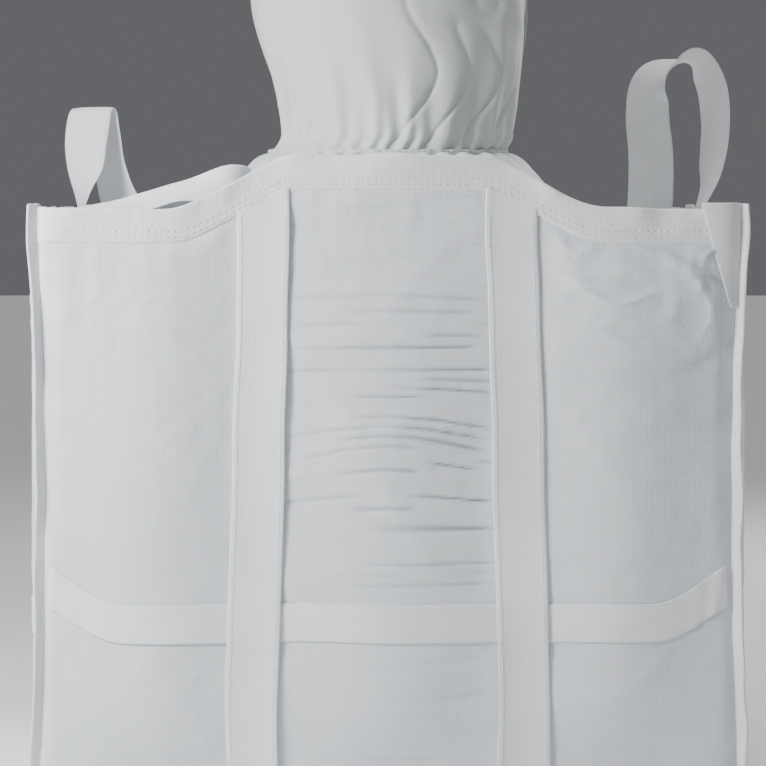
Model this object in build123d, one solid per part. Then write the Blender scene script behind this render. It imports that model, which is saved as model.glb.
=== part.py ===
from build123d import *
import math
import os

# A filled baffled bulk bag: four woven panels sewn to a base and a spout top, vertical and
# horizontal reinforcing webbing, corner lifting loops and a filling spout. Millimetres, +Z up,
# front towards -Y, origin on the ground under the middle of the bag.

# Body
BODY_WIDTH = 960.0
BODY_DEPTH = 960.0
SEAM_HEIGHT = 700.0
MIDDLE_RISE = 70.0
LOBE_DEPTH = 14.0
LOBE_END = 0.95
CORNER_SQUARENESS = 20
OUTLINE_STEPS = 14
FABRIC = 2.0
TOP_PANEL_CLEARANCE = 0.5

# How wide the raised middle of the front and back seams is, and of the top panel between them
SEAM_RISE_FLAT = 110.0
SEAM_RISE_END = 290.0
RIDGE_FLAT = 60.0
RIDGE_END = 200.0
RIDGE_NARROWS_OVER = 110.0
ROOF_STEPS = 36
ROOF_MARGIN = 60.0

# Hem round the top seam, and the seam flange at each corner
HEM_HEIGHT = 42.0
HEM_THICKNESS = 3.5
SEAM_FLANGE = 12.0
SEAM_THICKNESS = 4.0
EAR_HEIGHT = 5.0

# Reinforcing webbing
WEBBING_WIDTH = 70.0
WEBBING_THICKNESS = 2.5
BAND_WIDTH = 52.0
BAND_THICKNESS = 2.0
BAND_HEIGHT = 195.0
BAND_CORNER_RISE = 48.0
BAND_RISE_STARTS = 290.0
STRAP_FOOT = 4.0

# Corner baffles, set where the vertical straps are sewn
BAFFLE_OFFSET = 175.0
BAFFLE_TOP_GAP = 30.0
BAFFLE_HEIGHT = SEAM_HEIGHT - BAFFLE_TOP_GAP
BAFFLE_HOLE = 120.0
BAFFLE_HOLES = 3

# Filling spout: round at its foot, flattened at its mouth
SPOUT_RADIUS = 161.0
SPOUT_RISE = 112.0
SPOUT_LEVEL_RADIUS = SPOUT_RADIUS + 9
SPOUT_CONE_RADIUS = SPOUT_RADIUS + 129
SPOUT_LENGTH = 450.0
SPOUT_WALL = 1.5
SPOUT_CLEARANCE = 1.5
SPOUT_SHOULDER = 215.0
MOUTH_HALF_WIDTH = SPOUT_RADIUS + 37
MOUTH_HALF_DEPTH = SPOUT_RADIUS - 12
MOUTH_HEM = 25.0
MOUTH_CLEARANCE = 0.3
COLLAR_HEIGHT = 22.0
COLLAR_THICKNESS = 3.0

# Lifting loops: each leg is sewn this far in from the corner of its panel
LEG_INSET = 80.0
TAIL_LENGTH = 250.0
LOOP_CLEARANCE = 2.0
LOOP_STATIONS = 20
LOOP_SWING_POWER = 1.5
LOOP_RISE_POWER = 0.7
LOOP_SHARE_STEP = 0.002

BIG = 4000.0
INNER_X = BODY_WIDTH / 2 - FABRIC - LOBE_DEPTH
INNER_Y = BODY_DEPTH / 2 - FABRIC - LOBE_DEPTH
SPOUT_FOOT_HEIGHT = SEAM_HEIGHT + SPOUT_RISE
SPOUT_FOOT = SPOUT_FOOT_HEIGHT + FABRIC + SPOUT_CLEARANCE
TAIL_FACE = FABRIC + BAND_THICKNESS
TAIL_TOP = SEAM_HEIGHT + HEM_HEIGHT
LOOP_BASE = TAIL_TOP + LOOP_CLEARANCE
LEG_X = BODY_WIDTH / 2 - LEG_INSET
LEG_Y = BODY_DEPTH / 2 - LEG_INSET

FRONT, RIGHT, BACK, LEFT = (0, -1), (1, 0), (0, 1), (-1, 0)
SIDES = {"front": FRONT, "right": RIGHT, "back": BACK, "left": LEFT}
CORNERS = {
    "front_left": (-1, -1),
    "front_right": (1, -1),
    "back_right": (1, 1),
    "back_left": (-1, 1),
}


def smooth(value, start, end):
    share = min(max((value - start) / (end - start), 0), 1)
    return share * share * (3 - 2 * share)


def lobe(along, half_length):
    """Swell of the fabric between the corner and the baffle seams, and between those."""
    end = LOBE_END * half_length
    if abs(along) <= BAFFLE_OFFSET:
        share = abs(along) / BAFFLE_OFFSET
        return LOBE_DEPTH / 2 * (1 + math.cos(math.pi * share))
    share = min((abs(along) - BAFFLE_OFFSET) / (end - BAFFLE_OFFSET), 1)
    return LOBE_DEPTH / 2 * (1 - math.cos(2 * math.pi * share))


def side_points():
    """One side of the outline, from corner to corner, as shares of the half sizes."""
    corner = 0.5 ** (1 / CORNER_SQUARENESS)
    for step in range(-OUTLINE_STEPS, OUTLINE_STEPS):
        along = corner * math.sin(math.pi / 2 * step / OUTLINE_STEPS)
        out = (1 - abs(along) ** CORNER_SQUARENESS) ** (1 / CORNER_SQUARENESS)
        yield along, out


def outline_points():
    points = []
    for along, out in side_points():
        points.append((along * INNER_X, -out * INNER_Y - lobe(along * INNER_X, INNER_X)))
    for along, out in side_points():
        points.append((out * INNER_X + lobe(along * INNER_Y, INNER_Y), along * INNER_Y))
    return points + [(-x, -y) for x, y in points]


def outline(offset):
    """The closed line of the fabric's inner face, moved outwards by an offset."""
    base = outline_points()
    moved = []
    for index, (x, y) in enumerate(base):
        before, after = base[index - 1], base[(index + 1) % len(base)]
        run = (after[0] - before[0], after[1] - before[1])
        length = math.hypot(*run)
        moved.append((x + offset * run[1] / length, y - offset * run[0] / length))
    return Spline(moved, periodic=True)


def prism(offset, low=-BIG / 4, high=BIG / 2):
    face = make_face(outline(offset))
    return Pos(0, 0, low) * extrude(face, high - low)


def ring(inner, outer, low=-BIG / 4, high=BIG / 2):
    return prism(outer, low, high) - prism(inner, low, high)


def roof_height(x, y):
    """Height of the top seam and the top panel at a place in plan."""
    narrow = smooth(INNER_Y - abs(y), 0, RIDGE_NARROWS_OVER)
    flat = SEAM_RISE_FLAT + (RIDGE_FLAT - SEAM_RISE_FLAT) * narrow
    end = SEAM_RISE_END + (RIDGE_END - SEAM_RISE_END) * narrow
    middle = MIDDLE_RISE * (1 - smooth(abs(x), flat, end))
    cone = 1 - smooth(math.hypot(x, y), SPOUT_LEVEL_RADIUS, SPOUT_CONE_RADIUS)
    return SEAM_HEIGHT + middle * (1 - cone) + SPOUT_RISE * cone


def roof_face():
    reach_x = BODY_WIDTH / 2 + ROOF_MARGIN
    reach_y = BODY_DEPTH / 2 + ROOF_MARGIN
    rows = []
    for row in range(ROOF_STEPS + 1):
        y = reach_y * (2 * row / ROOF_STEPS - 1)
        xs = [reach_x * (2 * column / ROOF_STEPS - 1) for column in range(ROOF_STEPS + 1)]
        rows.append([Vector(x, y, roof_height(x, y)) for x in xs])
    return Face.make_surface_from_array_of_points(rows, tol=0.2)


ROOF = roof_face()


def below_roof(lift=0.0):
    return Solid.extrude(Pos(0, 0, lift) * ROOF, Vector(0, 0, -BIG / 2))


def roof_layer(low, high):
    return Solid.extrude(Pos(0, 0, low) * ROOF, Vector(0, 0, high - low))


def below_seam(side, lift=0.0):
    """Everything lower than the top seam of one side, moved up by a lift."""
    low = SEAM_HEIGHT + lift
    high = low + (MIDDLE_RISE if side in (FRONT, BACK) else 0)
    under = [(BIG, low), (BIG, -BIG), (-BIG, -BIG), (-BIG, low)]
    line = Polyline((SEAM_RISE_END, low), *under, (-SEAM_RISE_END, low))
    level = ((1, 0), (1, 0))
    if high > low:
        line += Spline((-SEAM_RISE_END, low), (-SEAM_RISE_FLAT, high), tangents=level)
        line += Line((-SEAM_RISE_FLAT, high), (SEAM_RISE_FLAT, high))
        line += Spline((SEAM_RISE_FLAT, high), (SEAM_RISE_END, low), tangents=level)
    else:
        line += Line((-SEAM_RISE_END, low), (SEAM_RISE_END, low))
    plane = Plane.XZ if side in (FRONT, BACK) else Plane.YZ
    return extrude(plane * make_face(line), BIG, both=True)


def side_layer(side, inner, outer, low=-BIG / 4, high=BIG / 2):
    """One side's part of a layer between two offsets from the fabric's inner face."""
    return without_corner_seams(ring(inner, outer, low, high) & side_wedge(side))


def corner_plate(corner, thickness):
    """An upright plate through the bag's middle axis and one corner, for its seam."""
    angle = math.degrees(math.atan2(corner[1] * INNER_Y, corner[0] * INNER_X))
    plate = Box(BIG, thickness, BIG, align=(Align.MIN, Align.CENTER, Align.CENTER))
    return Rot(0, 0, angle) * plate


def side_wedge(side):
    """Everything nearer to one side of the bag than to the others."""
    sign = side[0] + side[1]
    if side in (FRONT, BACK):
        reach = BIG * INNER_X / INNER_Y
        corners = [(0, 0), (reach, sign * BIG), (-reach, sign * BIG)]
    else:
        reach = BIG * INNER_Y / INNER_X
        corners = [(0, 0), (sign * BIG, reach), (sign * BIG, -reach)]
    face = make_face(Polyline(*corners, close=True))
    return Pos(0, 0, -BIG / 2) * extrude(face, BIG)


def without_corner_seams(shape):
    for corner in CORNERS.values():
        shape -= corner_plate(corner, SEAM_THICKNESS)
    return shape


def strip_across(side, middle, width, low=-BIG / 4, high=BIG / 2):
    """A block that cuts a strip of one width out of one side's layers."""
    size = (width, BIG) if side in (FRONT, BACK) else (BIG, width)
    sign = side[0] + side[1]
    block = Box(size[0], size[1], high - low, align=(Align.CENTER, Align.CENTER, Align.MIN))
    if side in (FRONT, BACK):
        return Pos(middle, sign * BIG / 2, low) * block
    return Pos(sign * BIG / 2, middle, low) * block


def one_solid(shape):
    return max(shape.solids(), key=lambda solid: solid.volume)


def side_panels():
    panels = {}
    for name, side in SIDES.items():
        skin = side_layer(side, 0, FABRIC, FABRIC)
        panels[f"{name}_panel"] = one_solid(skin & below_seam(side))
    return panels


def top_hems():
    """The upstanding hem, in which panel, top panel and webbing are sewn together."""
    hems = {}
    for name, side in SIDES.items():
        band = side_layer(side, 0, HEM_THICKNESS, SEAM_HEIGHT / 2)
        band = (band & below_seam(side, HEM_HEIGHT)) - below_seam(side)
        hems[f"top_hem_{name}"] = one_solid(band)
    return hems


def base_panel():
    return prism(FABRIC, 0, FABRIC)


def top_panel():
    opening = Cylinder(SPOUT_RADIUS, BIG)
    return one_solid((prism(-TOP_PANEL_CLEARANCE) & roof_layer(0, FABRIC)) - opening)


def corner_seams():
    seams = {}
    height = SEAM_HEIGHT + HEM_HEIGHT + EAR_HEIGHT
    shell = ring(0, FABRIC + SEAM_FLANGE, FABRIC, height)
    for name, corner in CORNERS.items():
        seams[f"corner_seam_{name}"] = one_solid(shell & corner_plate(corner, SEAM_THICKNESS))
    return seams


def vertical_straps():
    """Two straps on each side, over the baffle seams and outside the belly band."""
    layer = ring(TAIL_FACE, TAIL_FACE + WEBBING_THICKNESS, STRAP_FOOT)
    names = {"front": ("left", "right"), "back": ("left", "right")}
    names.update({"left": ("front", "back"), "right": ("front", "back")})
    straps = {}
    for side_name, side in SIDES.items():
        for end, middle in zip(names[side_name], (-BAFFLE_OFFSET, BAFFLE_OFFSET)):
            strap = layer & strip_across(side, middle, WEBBING_WIDTH)
            straps[f"vertical_strap_{side_name}_{end}"] = one_solid(strap & below_seam(side))
    return straps


def band_edge(height, half_length):
    """One edge of the belly band: level, and swept up where it nears a corner seam."""
    level = Line((-BAND_RISE_STARTS, height), (BAND_RISE_STARTS, height))
    reach = half_length + 3 * SEAM_FLANGE
    lift = height + BAND_CORNER_RISE * (reach - BAND_RISE_STARTS) / (half_length - BAND_RISE_STARTS)
    right = Spline((BAND_RISE_STARTS, height), (reach, lift), tangents=((1, 0), (1, 0.9)))
    left = Spline((-reach, lift), (-BAND_RISE_STARTS, height), tangents=((1, -0.9), (1, 0)))
    return left + level + right


def belly_bands():
    bands = {}
    for name, side in SIDES.items():
        half_length = INNER_X if side in (FRONT, BACK) else INNER_Y
        low = band_edge(BAND_HEIGHT - BAND_WIDTH / 2, half_length)
        high = band_edge(BAND_HEIGHT + BAND_WIDTH / 2, half_length)
        ends = [Line(low @ share, high @ share) for share in (0, 1)]
        face = make_face(low + high + ends)
        plane = Plane.XZ if side in (FRONT, BACK) else Plane.YZ
        layer = side_layer(side, FABRIC, FABRIC + BAND_THICKNESS, 0, SEAM_HEIGHT)
        strip = extrude(plane * face, BIG / 2, both=True)
        bands[f"belly_band_{name}"] = one_solid(layer & strip)
    return bands


def baffles():
    """Sheets across the inside of each corner, from one baffle seam to the next."""
    room = prism(0, FABRIC, BAFFLE_HEIGHT)
    sheets = {}
    for name, (x_sign, y_sign) in CORNERS.items():
        on_end_panel = (x_sign * BAFFLE_OFFSET, y_sign * INNER_Y)
        on_side_panel = (x_sign * INNER_X, y_sign * BAFFLE_OFFSET)
        ends = [on_end_panel, on_side_panel]
        middle = [(a + b) / 2 for a, b in zip(*ends)]
        run = [b - a for a, b in zip(*ends)]
        turn = math.degrees(math.atan2(run[1], run[0]))
        place = Pos(middle[0], middle[1], 0) * Rot(0, 0, turn)
        sheet = place * Box(BODY_WIDTH, FABRIC, BIG) & room
        for hole in range(BAFFLE_HOLES):
            height = BAFFLE_HEIGHT * (hole + 0.5) / BAFFLE_HOLES
            cutter = Rot(90, 0, 0) * Cylinder(BAFFLE_HOLE / 2, BAFFLE_HOLE)
            sheet -= place * (Pos(0, 0, height) * cutter)
        sheets[f"baffle_{name}"] = one_solid(sheet)
    return sheets


def bulk_fill(sheets):
    """The granular load, which holds the bag's shape and flows through the baffles' holes."""
    load = prism(0, FABRIC) & below_roof(-TOP_PANEL_CLEARANCE)
    for sheet in sheets.values():
        load -= sheet
    return one_solid(load)


def oval(half_width, half_depth, height):
    return Pos(0, 0, height) * Ellipse(half_width, half_depth)


def spout_skin(inset):
    """The spout's solid form, made smaller all round by an inset."""
    foot = SPOUT_RADIUS + SPOUT_WALL - inset
    mouth = (MOUTH_HALF_WIDTH - inset, MOUTH_HALF_DEPTH - inset)
    top = SPOUT_FOOT + SPOUT_LENGTH - MOUTH_HEM - MOUTH_CLEARANCE
    waist = SPOUT_FOOT + COLLAR_HEIGHT
    stub = Pos(0, 0, SPOUT_FOOT) * Cylinder(
        foot, COLLAR_HEIGHT, align=(Align.CENTER, Align.CENTER, Align.MIN)
    )
    flare = loft([oval(foot, foot, waist), oval(*mouth, SPOUT_FOOT + SPOUT_SHOULDER)])
    neck = loft([oval(*mouth, SPOUT_FOOT + SPOUT_SHOULDER), oval(*mouth, top)])
    return stub + flare + neck


def filling_spout():
    return one_solid(spout_skin(0) - spout_skin(SPOUT_WALL))


def spout_mouth_hem():
    low = SPOUT_FOOT + SPOUT_LENGTH - MOUTH_HEM
    outer = Ellipse(MOUTH_HALF_WIDTH, MOUTH_HALF_DEPTH)
    inner = Ellipse(MOUTH_HALF_WIDTH - 2 * SPOUT_WALL, MOUTH_HALF_DEPTH - 2 * SPOUT_WALL)
    return one_solid(Pos(0, 0, low) * extrude(outer - inner, MOUTH_HEM))


def spout_collar():
    """The tape over the seam that joins the spout to the top panel."""
    inner = SPOUT_RADIUS + SPOUT_WALL
    band = Cylinder(inner + COLLAR_THICKNESS, COLLAR_HEIGHT) - Cylinder(inner, COLLAR_HEIGHT)
    return one_solid(Pos(0, 0, SPOUT_FOOT + COLLAR_HEIGHT / 2) * band)


def loop_tails():
    """The sewn ends of each lifting loop, one on each panel beside the corner."""
    tails = {}
    face = (TAIL_FACE, TAIL_FACE + WEBBING_THICKNESS)
    layer = ring(*face, SEAM_HEIGHT - TAIL_LENGTH, TAIL_TOP)
    for name, (x_sign, y_sign) in CORNERS.items():
        y_side = FRONT if y_sign < 0 else BACK
        x_side = LEFT if x_sign < 0 else RIGHT
        end_cutter = strip_across(y_side, x_sign * LEG_X, WEBBING_WIDTH)
        side_cutter = strip_across(x_side, y_sign * LEG_Y, WEBBING_WIDTH)
        tails[f"loop_tail_{name}_end"] = one_solid(layer & end_cutter)
        tails[f"loop_tail_{name}_side"] = one_solid(layer & side_cutter)
    return tails


# Each free loop, stood upright: where the middle of its bight is from the middle of its two
# feet, the half span of the bight towards the foot on the side panel, the direction of the
# webbing's width there, and how far the loop then leans in over the bag at rest, in degrees.
LOOPS = {
    "back_right": (Vector(-2, 0, 222), Vector(62, 34, 6), Vector(0.62, -0.76, 0.15), 0),
    "back_left": (Vector(-4, 0, 150), Vector(-16, -40, 0), Vector(0.9, -0.36, 0), 0),
    "front_left": (Vector(42, -42, 218), Vector(-38, 38, 0), Vector(-0.5, -0.5, 0.7), 80),
    "front_right": (Vector(0, 0, 222), Vector(38, 38, 0), Vector(0.5, -0.5, 0.7), 88),
}


def loop_feet(corner):
    """The feet of a loop on the end panel and on the side panel, at the top of the hem."""
    out = TAIL_FACE + WEBBING_THICKNESS / 2
    x_sign, y_sign = corner
    end_foot = Vector(x_sign * LEG_X, y_sign * (BODY_DEPTH / 2 - FABRIC + out), LOOP_BASE)
    side_foot = Vector(x_sign * (BODY_WIDTH / 2 - FABRIC + out), y_sign * LEG_Y, LOOP_BASE)
    return end_foot, side_foot


def lifting_loop(name):
    end_foot, side_foot = loop_feet(CORNERS[name])
    middle = (end_foot + side_foot) * 0.5
    half_feet = (side_foot - end_foot) * 0.5
    bight, half_bight, width_there, lean_angle = LOOPS[name]
    width_at_foot = half_feet.normalized()
    if width_at_foot.dot(width_there) < 0:
        width_at_foot = width_at_foot * -1

    outward = Vector(CORNERS[name][0], CORNERS[name][1], 0)

    def place(share):
        across = -math.cos(math.pi * share)
        swell = max(math.sin(math.pi * share), 0)
        swing, up = swell**LOOP_SWING_POWER, swell**LOOP_RISE_POWER
        flat = half_feet * (across * (1 - swing)) + half_bight * (across * swing)
        return middle + flat + Vector(bight.X * swing, bight.Y * swing, bight.Z * up)

    sections = []
    for station in range(LOOP_STATIONS + 1):
        share = (1 - math.cos(math.pi * station / LOOP_STATIONS)) / 2
        at_foot = station in (0, LOOP_STATIONS)
        run = place(share + LOOP_SHARE_STEP) - place(share - LOOP_SHARE_STEP)
        if at_foot:
            run = Vector(0, 0, 1 if station == 0 else -1)
        turned = 0 if at_foot else math.sin(math.pi * share) ** LOOP_SWING_POWER
        width = width_at_foot * (1 - turned) + width_there * turned
        width = width - run * (width.dot(run) / run.dot(run))
        plane = Plane(place(share), x_dir=width, z_dir=run)
        sections.append(plane * Rectangle(WEBBING_WIDTH, WEBBING_THICKNESS))
    hinge = Axis(middle, Vector(0, 0, 1).cross(outward))
    return one_solid(loft(sections)).rotate(hinge, -lean_angle)


def write(name, shape):
    export_step(shape, f"parts/{name}.step")


os.makedirs("parts", exist_ok=True)
sheets = baffles()
pieces = {
    "bulk_fill": bulk_fill(sheets),
    "base_panel": base_panel(),
    "top_panel": top_panel(),
    "filling_spout": filling_spout(),
    "spout_mouth_hem": spout_mouth_hem(),
    "spout_collar": spout_collar(),
}
for group in (
    sheets,
    side_panels(),
    top_hems(),
    corner_seams(),
    vertical_straps(),
    belly_bands(),
    loop_tails(),
):
    pieces.update(group)
for loop_name in LOOPS:
    pieces[f"lifting_loop_{loop_name}"] = lifting_loop(loop_name)
for piece_name, piece in pieces.items():
    write(piece_name, piece)
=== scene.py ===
import math

import bpy
import numpy as np
from bpy.props import FloatProperty, FloatVectorProperty, PointerProperty
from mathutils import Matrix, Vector


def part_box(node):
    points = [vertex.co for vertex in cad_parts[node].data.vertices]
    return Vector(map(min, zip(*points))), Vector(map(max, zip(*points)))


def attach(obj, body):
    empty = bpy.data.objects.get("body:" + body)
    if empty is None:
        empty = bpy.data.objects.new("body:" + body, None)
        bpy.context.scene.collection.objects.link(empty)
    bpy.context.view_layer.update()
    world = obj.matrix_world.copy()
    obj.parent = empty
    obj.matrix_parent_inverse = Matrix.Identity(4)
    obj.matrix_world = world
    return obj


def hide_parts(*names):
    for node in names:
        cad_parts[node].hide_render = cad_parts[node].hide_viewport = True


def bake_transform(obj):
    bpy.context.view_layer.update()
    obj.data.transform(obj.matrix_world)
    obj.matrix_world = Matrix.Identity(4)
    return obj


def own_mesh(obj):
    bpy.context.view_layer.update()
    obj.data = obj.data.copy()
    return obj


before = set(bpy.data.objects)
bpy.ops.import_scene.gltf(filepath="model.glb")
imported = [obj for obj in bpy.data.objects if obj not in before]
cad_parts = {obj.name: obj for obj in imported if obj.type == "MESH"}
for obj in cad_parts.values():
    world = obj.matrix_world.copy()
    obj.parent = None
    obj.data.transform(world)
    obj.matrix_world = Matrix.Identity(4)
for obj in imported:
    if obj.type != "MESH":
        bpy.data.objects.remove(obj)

bl_info = {
    "name": "Baffled bulk bag",
    "version": (1, 0, 0),
    "blender": (4, 5, 0),
    "location": "3D View > Sidebar > Bulk bag",
    "description": "Woven fabric, webbing, spout and lifting loops of a filled bulk bag",
    "category": "Mesh",
}

FRONT, RIGHT, BACK, LEFT = range(4)
SIDE_NAMES = ("front", "right", "back", "left")
TURN_COS = np.array([1.0, 0.0, -1.0, 0.0])
TURN_SIN = np.array([0.0, 1.0, 0.0, -1.0])
CORNER_POWER = 34
CORNER_SHARE = 0.5 ** (1 / CORNER_POWER)

RAISED_FLAT, RAISED_END = 0.110, 0.290
STRAP_PLACE, STRAP_TOP = 0.175, 0.17
LOOP_HINGE = 0.4416
FABRIC_THICKNESS = 0.0012
HEM_LAP = 0.006
STITCH_SIZE = (0.0034, 0.0008, 0.0006)
STITCH_PITCH, SEAM_PITCH = 0.0085, 0.009

# Each corner: which way it lies, the side its first foot is on and the side its second is on.
CORNERS = {
    "back_right": ((1, 1), BACK, RIGHT),
    "back_left": ((-1, 1), BACK, LEFT),
    "front_left": ((-1, -1), FRONT, LEFT),
    "front_right": ((1, -1), FRONT, RIGHT),
}

# The way of each free loop from its foot on the end panel to its foot on the side panel:
# points along the middle of the webbing, each with the direction of its width there.
LOOPS = {
    "back_right": (
        ((0.404, 0.466, 0.765), (1, -0.1, 0)),
        ((0.404, 0.460, 0.825), (1, -0.2, 0)),
        ((0.399, 0.452, 0.885), (0.95, -0.35, 0)),
        ((0.403, 0.442, 0.928), (0.8, -0.6, 0.1)),
        ((0.430, 0.430, 0.956), (0.62, -0.76, 0.25)),
        ((0.465, 0.420, 0.964), (0.62, -0.78, 0.1)),
        ((0.489, 0.410, 0.930), (0.60, -0.80, -0.1)),
        ((0.495, 0.402, 0.870), (0.58, -0.80, 0)),
        ((0.490, 0.399, 0.805), (0.45, -0.90, 0)),
        ((0.480, 0.399, 0.765), (0.2, -1, 0)),
    ),
    "back_left": (
        ((-0.414, 0.462, 0.762), (0.85, -0.5, 0)),
        ((-0.427, 0.456, 0.815), (0.76, -0.65, 0)),
        ((-0.434, 0.450, 0.860), (0.8, -0.6, 0)),
        ((-0.445, 0.438, 0.892), (0.9, -0.4, 0)),
        ((-0.455, 0.420, 0.890), (0.95, -0.3, 0)),
        ((-0.460, 0.409, 0.855), (0.97, -0.25, 0)),
        ((-0.464, 0.403, 0.808), (0.85, -0.5, 0)),
        ((-0.467, 0.400, 0.765), (0.4, -0.9, 0)),
    ),
    "front_left": (
        ((-0.400, -0.452, 0.728), (1, 0, 0)),
        ((-0.392, -0.430, 0.733), (0.95, -0.3, -0.05)),
        ((-0.365, -0.412, 0.738), (0.6, -0.8, -0.15)),
        ((-0.318, -0.405, 0.747), (0.1, -0.93, -0.35)),
        ((-0.262, -0.400, 0.762), (0, -0.90, -0.43)),
        ((-0.212, -0.390, 0.766), (-0.1, -0.6, -0.8)),
        ((-0.190, -0.362, 0.760), (-0.1, -0.1, -1)),
        ((-0.212, -0.335, 0.752), (0, 0.5, -0.85)),
        ((-0.270, -0.330, 0.740), (0, 0.93, -0.35)),
        ((-0.345, -0.350, 0.732), (0, 1, -0.05)),
        ((-0.415, -0.382, 0.733), (0, 1, 0)),
        ((-0.452, -0.398, 0.727), (0, 1, 0)),
    ),
    "front_right": (
        ((0.400, -0.452, 0.726), (1, 0, 0)),
        ((0.388, -0.420, 0.729), (0.95, 0.2, 0)),
        ((0.352, -0.368, 0.729), (0.8, 0.6, 0)),
        ((0.315, -0.322, 0.729), (0.7, 0.7, 0)),
        ((0.298, -0.304, 0.733), (0.7, 0.7, 0)),
        ((0.302, -0.308, 0.739), (0.7, 0.7, 0)),
        ((0.335, -0.330, 0.739), (0.6, 0.8, 0)),
        ((0.385, -0.362, 0.736), (0.3, 0.95, 0)),
        ((0.425, -0.388, 0.735), (0.1, 1, 0)),
        ((0.452, -0.399, 0.727), (0, 1, 0)),
    ),
}


def length(name, description, default):
    return FloatProperty(name=name, description=description, default=default, min=0, unit="LENGTH",
                         subtype="DISTANCE", precision=4)


def colour(name, description, default):
    return FloatVectorProperty(name=name, description=description, default=default, size=3,
                               min=0, max=1, subtype="COLOR")


class BagSizes(bpy.types.PropertyGroup):
    """Sizes of the bag's soft pieces"""
    half_size: length("Half size", "Middle of the bag to the fabric beside a corner", 0.464)
    seam_height: length("Seam height", "Ground to the top seam at the corners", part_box("left_panel")[1][2])
    middle_rise: length("Middle rise", "Extra height of the front and back seams in the middle", 0.070)
    lobe_depth: length("Lobe depth", "Swell of the fabric between its seams", 0.014)
    baffle_offset: length("Baffle offset", "Middle of a panel to each baffle seam", 0.175)
    hem_height: length("Hem height", "Upstanding hem over the top seam", 0.042)
    webbing_width: length("Webbing width", "Width of the straps and loops", 0.070)
    webbing_thickness: length("Webbing thickness", "Thickness of the straps and loops", 0.0025)
    band_height: length("Belly band height", "Ground to the middle of the belly band", 0.195)
    band_width: length("Belly band width", "Width of the belly band", 0.052)
    leg_place: length("Loop foot place", "Middle of a panel to the loop sewn on it", 0.400)
    tail_length: length("Loop tail length", "Sewn length of each loop end under the seam", 0.250)
    spout_radius: length("Spout radius", "Radius of the spout at its foot", 0.1625)
    spout_foot: length("Spout foot", "Ground to the foot of the spout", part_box("spout_collar")[0][2])
    spout_top: length("Spout top", "Ground to the spout's mouth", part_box("spout_mouth_hem")[1][2])
    mouth_half_width: length("Mouth half width", "Half the spout's mouth, side to side", 0.198)
    mouth_half_depth: length("Mouth half depth", "Half the spout's mouth, front to back", 0.149)


class BagColours(bpy.types.PropertyGroup):
    """Colours of the bag's materials"""
    fabric: colour("Fabric", "Woven fabric of the body", (0.76, 0.785, 0.82))
    webbing: colour("Webbing", "Straps, loops, belly band and hems", (0.86, 0.87, 0.88))
    spout: colour("Spout", "Thin fabric of the spout", (0.66, 0.70, 0.65))
    thread: colour("Thread", "Sewing thread", (0.80, 0.80, 0.78))
    granulate: colour("Granulate", "The load inside the bag", (0.62, 0.60, 0.55))
    floor: colour("Floor", "The studio floor", (0.80, 0.80, 0.79))


def sizes():
    return bpy.context.scene.bulk_bag_sizes


def colours():
    return bpy.context.scene.bulk_bag_colours


# Shapes of the filled bag


def smooth(value, start, end):
    share = np.clip((value - start) / (end - start), 0, 1)
    return share * share * (3 - 2 * share)


def rumple(across, up, seed):
    """Soft noise from -1 to 1 over a plane, the same every run."""
    count = 64
    table = np.random.default_rng(seed).uniform(-1, 1, (count, count))
    across, up = np.broadcast_arrays(np.asarray(across, float), np.asarray(up, float))
    column, row = np.floor(across).astype(int), np.floor(up).astype(int)
    x, y = across - column, up - row
    x, y = x * x * (3 - 2 * x), y * y * (3 - 2 * y)
    column, row = column % count, row % count
    right, above = (column + 1) % count, (row + 1) % count
    low = table[column, row] * (1 - x) + table[right, row] * x
    high = table[column, above] * (1 - x) + table[right, above] * x
    return low * (1 - y) + high * y


def creases(across, up, seed):
    """Narrow folds from 0 to 1 along the level lines of soft noise."""
    return (1 - np.abs(rumple(across, up, seed))) ** 6


def lobe(along):
    size = sizes()
    offset, end = size.baffle_offset, 0.95 * size.half_size
    place = np.abs(along)
    middle = (1 + np.cos(np.pi * np.minimum(place / offset, 1))) / 2
    outer = (1 - np.cos(2 * np.pi * np.clip((place - offset) / (end - offset), 0, 1))) / 2
    return size.lobe_depth * np.where(place <= offset, middle, outer)


def fabric_line(along, height):
    """How far out the fabric lies at a place along one side."""
    half = sizes().half_size
    share = np.minimum(np.abs(along) / half, CORNER_SHARE)
    full = 0.1 + 0.9 * smooth(height, -0.03, 0.10) - 0.45 * smooth(height, 0.60, 0.72)
    return half * (1 - share**CORNER_POWER) ** (1 / CORNER_POWER) + lobe(along) * full


def corner_pull(along, height):
    """The corner seams draw in between the base and the top."""
    waist = np.sin(np.pi * np.clip(height / sizes().seam_height, 0, 1))
    return (0.007 - 0.011 * waist) * smooth(np.abs(along), 0.33, 0.45)


def wall(side, along, height, out):
    """A point on one side of the bag, a distance out from the fabric's inner face."""
    side = np.asarray(side)
    limit = sizes().half_size * CORNER_SHARE
    low, high = np.clip(along - 0.001, -limit, limit), np.clip(along + 0.001, -limit, limit)
    slope = (fabric_line(high, height) - fabric_line(low, height)) / (high - low)
    run = np.sqrt(1 + slope**2)
    out = out + corner_pull(along, height)
    x = along - out * slope / run
    y = -fabric_line(along, height) - out / run
    turned_x = TURN_COS[side] * x - TURN_SIN[side] * y
    turned_y = TURN_SIN[side] * x + TURN_COS[side] * y
    return np.stack(np.broadcast_arrays(turned_x, turned_y, height), axis=-1)


def across_side(share):
    """Place along a side for a share from 0 at its left corner to 1 at its right one."""
    return sizes().half_size * CORNER_SHARE * np.sin(np.pi / 2 * (2 * share - 1))


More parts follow.
